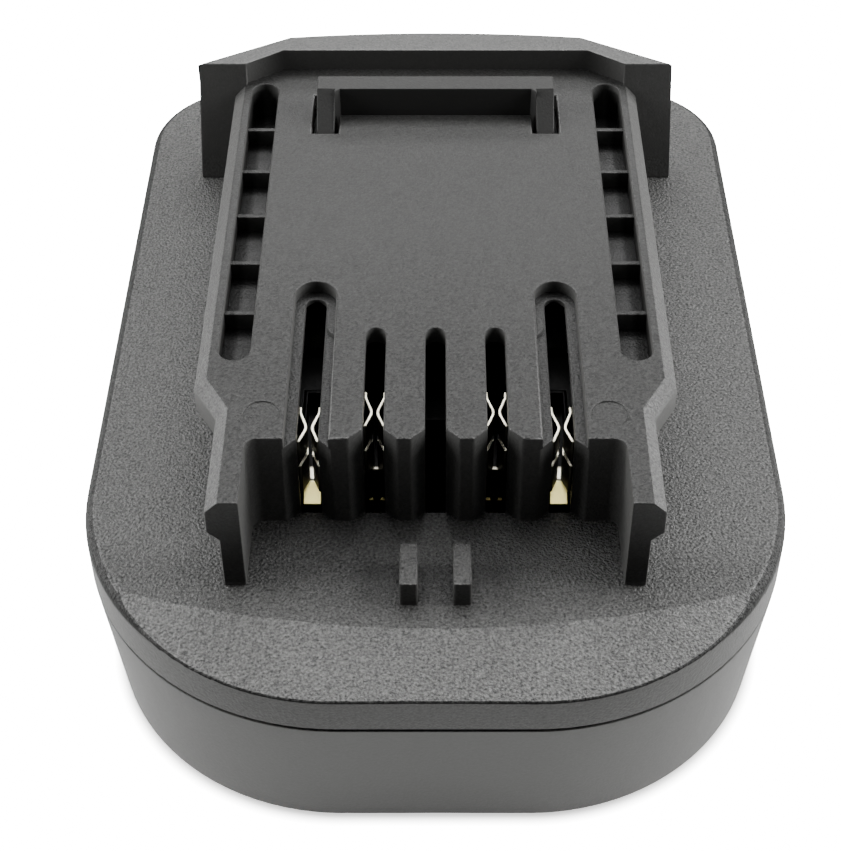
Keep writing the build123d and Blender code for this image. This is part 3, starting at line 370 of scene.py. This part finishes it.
def moulded_plastic(
    name,
    colour,
    roughness,
    grain,
    depth,
    fleck,
    drift,
    dust=0.0,
    shine=0.5,
    coarse_below=1.0,
    slope_painted_light=0.0,
    painted_shade=None,
):
    """Moulded plastic: tone drift, spark-eroded craters that lighten and darken it, dust, a front slope
    painted lighter as a highlight, and painted shade from a given group, which also dims its gloss.
    """
    material, tree, output = new_material(name)
    grain_values = {"Frequency": grain, "Coarse below": coarse_below, "Fine share": fine_share}
    grained = use_group(tree, grain_group, **grain_values)
    drifted = use_group(tree, drift_group, Amount=drift)
    dusty = use_group(tree, dust_group)
    flecked = number(tree, "MULTIPLY", grained.outputs["Fleck"], fleck)
    toned = times(tree, colour, number(tree, "ADD", flecked, drifted.outputs["Tone"]))
    dust_share = number(tree, "MULTIPLY", dusty.outputs["Dust"], dust)
    dusted = mix_colours(tree, dust_share, toned, dust_colour)
    facing = add_node(tree, "SeparateXYZ", {0: add_node(tree, "NewGeometry").outputs["True Normal"]})
    # Painted highlight: level faces tilted to the front are painted lighter.
    painted_slope_light = ramp(tree, facing.outputs["Y"], *slope_facing, 0.0, slope_painted_light)
    level = number(tree, "GREATER_THAN", facing.outputs["Z"], level_from)
    painted_tone = number(tree, "MULTIPLY_ADD", painted_slope_light, level, 1.0)
    gloss = shine
    # A painted-shade group darkens the colour and the gloss.
    if painted_shade:
        painted_shade_node = use_group(tree, painted_shade)
        tree.links.new(painted_tone, painted_shade_node.inputs["Tone"])
        painted_tone = painted_shade_node.outputs["Tone"]
        gloss = number(tree, "MULTIPLY", painted_tone, shine)
    sheen_ends = (roughness + sheen_swing, roughness - sheen_swing)
    bump = add_node(tree, "Bump", {"Height": grained.outputs["Height"], "Strength": 1.0, "Distance": depth})
    shader = add_node(
        tree,
        "BsdfPrincipled",
        {
            "Base Color": times(tree, dusted, painted_tone),
            "Roughness": ramp(tree, grained.outputs["Fleck"], -fleck_range, fleck_range, *sheen_ends),
            "Normal": bump.outputs[0],
            "Specular IOR Level": gloss,
        },
    )
    tree.links.new(shader.outputs[0], output.inputs["Surface"])
    return material


weld_distance = 0.000002
flat_within = radians(0.5)
crease_from = radians(40)
rounding_steps = 2
round_profile = 0.5
probe_share = 0.25


def rounded_piece(node, name, body, material, radius, sharp_from=30.0, reshape=None):
    """A copy of a CAD node whose outer convex edges are rounded; it stands for that node."""
    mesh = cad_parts[node].data.copy()
    mesh.name = name
    shape = bmesh.new()
    shape.from_mesh(mesh)
    if reshape:
        reshape(shape)
    bmesh.ops.remove_doubles(shape, verts=shape.verts, dist=weld_distance)
    bmesh.ops.dissolve_limit(shape, angle_limit=flat_within, verts=shape.verts, edges=shape.edges)
    shape.normal_update()
    walls = BVHTree.FromBMesh(shape)
    outer = []
    for edge in shape.edges:
        if not edge.is_manifold or not edge.is_convex or edge.calc_face_angle(0) < radians(sharp_from):
            continue
        outward = (edge.link_faces[0].normal + edge.link_faces[1].normal).normalized()
        middle = (edge.verts[0].co + edge.verts[1].co) / 2
        if walls.ray_cast(middle + outward * radius * probe_share, outward)[0] is None:
            outer.append(edge)
    bmesh.ops.bevel(
        shape,
        geom=outer,
        offset=radius,
        offset_type="OFFSET",
        segments=rounding_steps,
        profile=round_profile,
        affect="EDGES",
        clamp_overlap=False,
        miter_outer="ARC",
    )
    for face in shape.faces:
        face.smooth = True
    shape.normal_update()
    for edge in shape.edges:
        edge.smooth = edge.calc_face_angle(pi) < crease_from
    shape.to_mesh(mesh)
    shape.free()
    if mesh.has_custom_normals:
        mesh.attributes.remove(mesh.attributes["custom_normal"])
    mesh.materials.clear()
    mesh.materials.append(material)
    piece = bpy.data.objects.new(name, mesh)
    bpy.context.scene.collection.objects.link(piece)
    smoothing = piece.modifiers.new("even_shading", "WEIGHTED_NORMAL")
    smoothing.keep_sharp = True
    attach(piece, body)
    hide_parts(node)


charcoal = (0.060, 0.060, 0.058)
# Its front slope is painted lighter as a highlight, and its tone is painted darker where shade falls.
cover_plastic = moulded_plastic(
    "cover_plastic",
    charcoal,
    roughness=0.46,
    grain=3300.0,
    depth=0.0002,
    fleck=5.0,
    drift=0.2,
    dust=0.8,
    coarse_below=0.027,
    slope_painted_light=0.22,
    painted_shade=painted_shade_group,
)
cover_rounding = 0.00022
cell_floor = 0.0350
cell_floor_within = 0.00002
cell_sides = (0.0209, 0.0247)
cell_deepening = 0.0007
peg_ends = (-0.0442, -0.0376)
peg_heights = (0.02455, 0.0277)
peg_middle = 0.0029
peg_half_width = 0.0012
peg_growth = 1.13


def refine_cover(shape):
    """Ladder cells a little deeper and pegs a little wider than in the solid."""
    for corner in shape.verts:
        place = corner.co
        side = abs(place.x)
        if cell_sides[0] < side < cell_sides[1] and abs(place.z - cell_floor) < cell_floor_within:
            place.z -= cell_deepening
        across_peg = abs(side - peg_middle) < peg_half_width
        along_peg = peg_ends[0] < place.y < peg_ends[1]
        if across_peg and along_peg and peg_heights[0] < place.z < peg_heights[1]:
            grown = peg_middle + (side - peg_middle) * peg_growth
            place.x = grown if place.x > 0 else -grown


rounded_piece(
    "upper_cover",
    "upper_cover_moulding",
    "housing",
    cover_plastic,
    cover_rounding,
    reshape=refine_cover,
)


# Lower housing: the drafted tray with the battery receptacle, moulded in the same nylon.
# Its sides have a finer grain than the cover, and it meets the cover at a thin shadow gap.
housing_rounding = 0.00015
housing_plastic = moulded_plastic(
    "housing_plastic", charcoal, roughness=0.50, grain=3000.0, depth=0.00006, fleck=0.8, drift=0.15
)
rounded_piece(
    "lower_housing", "lower_housing_tray", "housing", housing_plastic, housing_rounding
)


# Sprung latch: hook and release button, moulded in acetal with a finer, smoother surface.
# The button clips on the hook's carriage and is pressed down with it.
latch_black = (0.046, 0.046, 0.045)
hook_rounding = 0.00018
button_rounding = 0.0002
latch_plastic = moulded_plastic(
    "latch_plastic",
    latch_black,
    roughness=0.42,
    grain=3600.0,
    depth=0.00003,
    fleck=0.5,
    drift=0.15,
    dust=0.4,
    shine=0.08,
)
rounded_piece("latch_hook", "latch_hook_moulding", "latch", latch_plastic, hook_rounding)
rounded_piece(
    "release_button", "release_button_moulding", "latch", latch_plastic, button_rounding
)


# Fork contacts: four spring forks stamped from tinned copper strip, 0.4 mm thick, with coined edges.
# Their sides are painted darker as shade and their edges left bright, their parts deep in the channel behind
# are painted black as shade, and the outer forks end in a brass tab.
rolling_scale = (9000.0, 900.0, 9000.0)
tarnish_scale = 900.0
streak_range = (0.3, 0.7)
edge_facing = (0.05, 0.35)
streak_depth = 0.000004
streak_strength = 0.4
polish_ends = (-0.06, 0.08)
foot_blend = 0.0002
painted_shade_blend = 0.0004
painted_shade_black = (0.006, 0.006, 0.006, 1)


def stamped_metal(name, colour, bare_colour, roughness, tarnish, side_painted_shade, foot_top, rear_start, rear_top):
    """Stamped strip: rolling streaks and tarnish clouds, a bare foot, a rear painted black as shade and
    upright sides painted darker as shade.
    """
    material, tree, output = new_material(name)
    place = object_place(tree)
    stretched = add_node(tree, "Mapping", {"Vector": place, "Scale": rolling_scale})
    streaks = add_node(tree, "TexNoise", {"Vector": stretched.outputs[0], "Scale": 1.0, "Detail": 2.0})
    drifted = use_group(tree, drift_group, Frequency=tarnish_scale, Amount=tarnish)
    spot = add_node(tree, "SeparateXYZ", {0: place})
    bare = ramp(tree, spot.outputs["Z"], foot_top, foot_top + foot_blend, 1.0, 0.0)
    behind = ramp(tree, spot.outputs["Y"], rear_start, rear_start + painted_shade_blend)
    below = ramp(tree, spot.outputs["Z"], rear_top - painted_shade_blend, rear_top, 1.0, 0.0)
    plated = mix_colours(tree, bare, (*colour, 1), (*bare_colour, 1))
    # The rear of the strip, deep in the channel, is painted black as shade.
    shaded = mix_colours(tree, number(tree, "MULTIPLY", behind, below), plated, painted_shade_black)
    facing = add_node(tree, "SeparateXYZ", {0: add_node(tree, "NewGeometry").outputs["True Normal"]})
    # Upright sides are painted darker as shade.
    painted_side_shade = ramp(tree, facing.outputs["Z"], *edge_facing, side_painted_shade, 1.0)
    tarnish_and_side_shade = number(tree, "MULTIPLY", drifted.outputs["Tone"], painted_side_shade)
    rough_ends = [roughness + end for end in polish_ends]
    bump_values = {"Height": streaks.outputs[0], "Strength": streak_strength, "Distance": streak_depth}
    shader = add_node(
        tree,
        "BsdfPrincipled",
        {
            "Base Color": times(tree, shaded, tarnish_and_side_shade),
            "Metallic": 1.0,
            "Roughness": ramp(tree, streaks.outputs[0], *streak_range, *rough_ends),
            "Normal": add_node(tree, "Bump", bump_values).outputs[0],
        },
    )
    tree.links.new(shader.outputs[0], output.inputs["Surface"])
    return material


tin = (1.0, 0.94, 0.76)
tab_brass = (1.0, 0.87, 0.34)
fork_rounding = 0.00012
fork_sharp_from = 60.0
contact_metal = stamped_metal(
    "contact_metal",
    tin,
    tab_brass,
    roughness=0.36,
    tarnish=0.20,
    side_painted_shade=0.12,
    foot_top=0.02585,
    rear_start=-0.0252,
    rear_top=0.0335,
)
for name in ("contact_positive", "contact_negative", "contact_sense_left", "contact_sense_right"):
    rounded_piece(
        name, name + "_fork", "housing", contact_metal, fork_rounding, fork_sharp_from
    )


# Receptacle blades and bus bars: brass strip, its edges sheared and its faces slightly rubbed.
# The blades stand in a black insulator at the front end of the receptacle.
strip_brass = (0.78, 0.62, 0.34)
strip_rounding = 0.00007
insulator_black = (0.006, 0.006, 0.006)
insulator_rounding = 0.0002
# Its upright sides are painted slightly darker as shade.
blade_brass = stamped_metal(
    "blade_brass",
    strip_brass,
    strip_brass,
    roughness=0.28,
    tarnish=0.3,
    side_painted_shade=0.8,
    foot_top=0.0,
    rear_start=1.0,
    rear_top=1.0,
)
for name in ("blade_positive", "blade_negative", "signal_blades", "busbar_positive", "busbar_negative"):
    rounded_piece(name, name + "_strip", "housing", blade_brass, strip_rounding)
insulator_plastic = moulded_plastic(
    "insulator_plastic",
    insulator_black,
    roughness=0.50,
    grain=4000.0,
    depth=0.00002,
    fleck=0.4,
    drift=0.2,
    shine=0.12,
)
for name in ("contact_block", "blade_block"):
    rounded_piece(
        name, name + "_moulding", "housing", insulator_plastic, insulator_rounding
    )


# Latch springs, guide pins and retainer: drawn steel wire, ground dowels and a plain black plate.
# They lie under the platform and show only through the latch's cut-out.
scratch_tarnish = 0.3
scratch_tarnish_scale = 500.0
scratch_depth = 0.00001
scratch_polish = 0.1


def drawn_steel(name, colour, roughness, scratch_scale):
    """Drawn or turned steel with fine scratches along one axis."""
    material, tree, output = new_material(name)
    stretched = add_node(tree, "Mapping", {"Vector": object_place(tree), "Scale": scratch_scale})
    scratches = add_node(tree, "TexNoise", {"Vector": stretched.outputs[0], "Scale": 1.0, "Detail": 3.0})
    drifted = use_group(tree, drift_group, Frequency=scratch_tarnish_scale, Amount=scratch_tarnish)
    rough_ends = (roughness - scratch_polish, roughness + scratch_polish)
    bump_values = {"Height": scratches.outputs[0], "Strength": streak_strength, "Distance": scratch_depth}
    shader = add_node(
        tree,
        "BsdfPrincipled",
        {
            "Base Color": times(tree, colour, drifted.outputs["Tone"]),
            "Metallic": 1.0,
            "Roughness": ramp(tree, scratches.outputs[0], *streak_range, *rough_ends),
            "Normal": add_node(tree, "Bump", bump_values).outputs[0],
        },
    )
    tree.links.new(shader.outputs[0], output.inputs["Surface"])
    return material


def dress(node, material):
    """A carried-over CAD node takes a detailed material."""
    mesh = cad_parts[node].data
    mesh.materials.clear()
    mesh.materials.append(material)


wire_grey = (0.56, 0.56, 0.55)
along_wire = (7000.0, 7000.0, 1500.0)
spring_steel = drawn_steel("spring_steel", wire_grey, 0.30, along_wire)
for name in ("latch_spring_left", "latch_spring_right", "guide_pins"):
    dress(name, spring_steel)
plate_black = (0.035, 0.035, 0.034)
plate_rounding = 0.0002
inner_plastic = moulded_plastic(
    "inner_plastic", plate_black, roughness=0.50, grain=4000.0, depth=0.00003, fleck=0.4, drift=0.2
)
rounded_piece(
    "latch_retainer", "latch_retainer_plate", "housing", inner_plastic, plate_rounding
)


# Screws: zinc-plated steel with pan heads and a cross recess, driven from below.
# The four long ones sit in counterbores and hold the two shells together.
zinc_grey = (0.60, 0.60, 0.60)
along_screw = (6000.0, 6000.0, 2000.0)
screw_steel = drawn_steel("screw_steel", zinc_grey, 0.34, along_screw)
for name in ("housing_screws", "retainer_screws", "block_screws", "board_screws"):
    dress(name, screw_steel)


# Circuit board: black-green resist over glass laminate, with copper tracks under it and soldered parts.
# It is screwed to the roof of the receptacle, inside the closed shells.
resist_colour = (0.006, 0.010, 0.008, 1)
track_colour = (0.010, 0.020, 0.014, 1)
resist_roughness = 0.25
track_height = 0.00004
track_strength = 0.5
track_tarnish = 0.3
track_tarnish_scale = 300.0
board_laminate, tree, output = new_material("board_laminate")
track_values = {"Vector": object_place(tree), "Scale": 300.0, "Mortar Size": 0.06}
tracks = add_node(tree, "TexBrick", track_values, offset=0.5).outputs["Fac"]
drifted = use_group(tree, drift_group, Frequency=track_tarnish_scale, Amount=track_tarnish)
track_tone = mix_colours(tree, tracks, resist_colour, track_colour)
track_bump = add_node(tree, "Bump", {"Height": tracks, "Strength": track_strength, "Distance": track_height})
board_shader = add_node(
    tree,
    "BsdfPrincipled",
    {
        "Base Color": times(tree, track_tone, drifted.outputs["Tone"]),
        "Roughness": resist_roughness,
        "Normal": track_bump.outputs[0],
    },
)
tree.links.new(board_shader.outputs[0], output.inputs["Surface"])
dress("circuit_board", board_laminate)
component_black = (0.02, 0.02, 0.022)
component_plastic = moulded_plastic(
    "component_plastic", component_black, roughness=0.35, grain=6000.0, depth=0.00001, fleck=0.4, drift=0.2
)
dress("board_components", component_plastic)
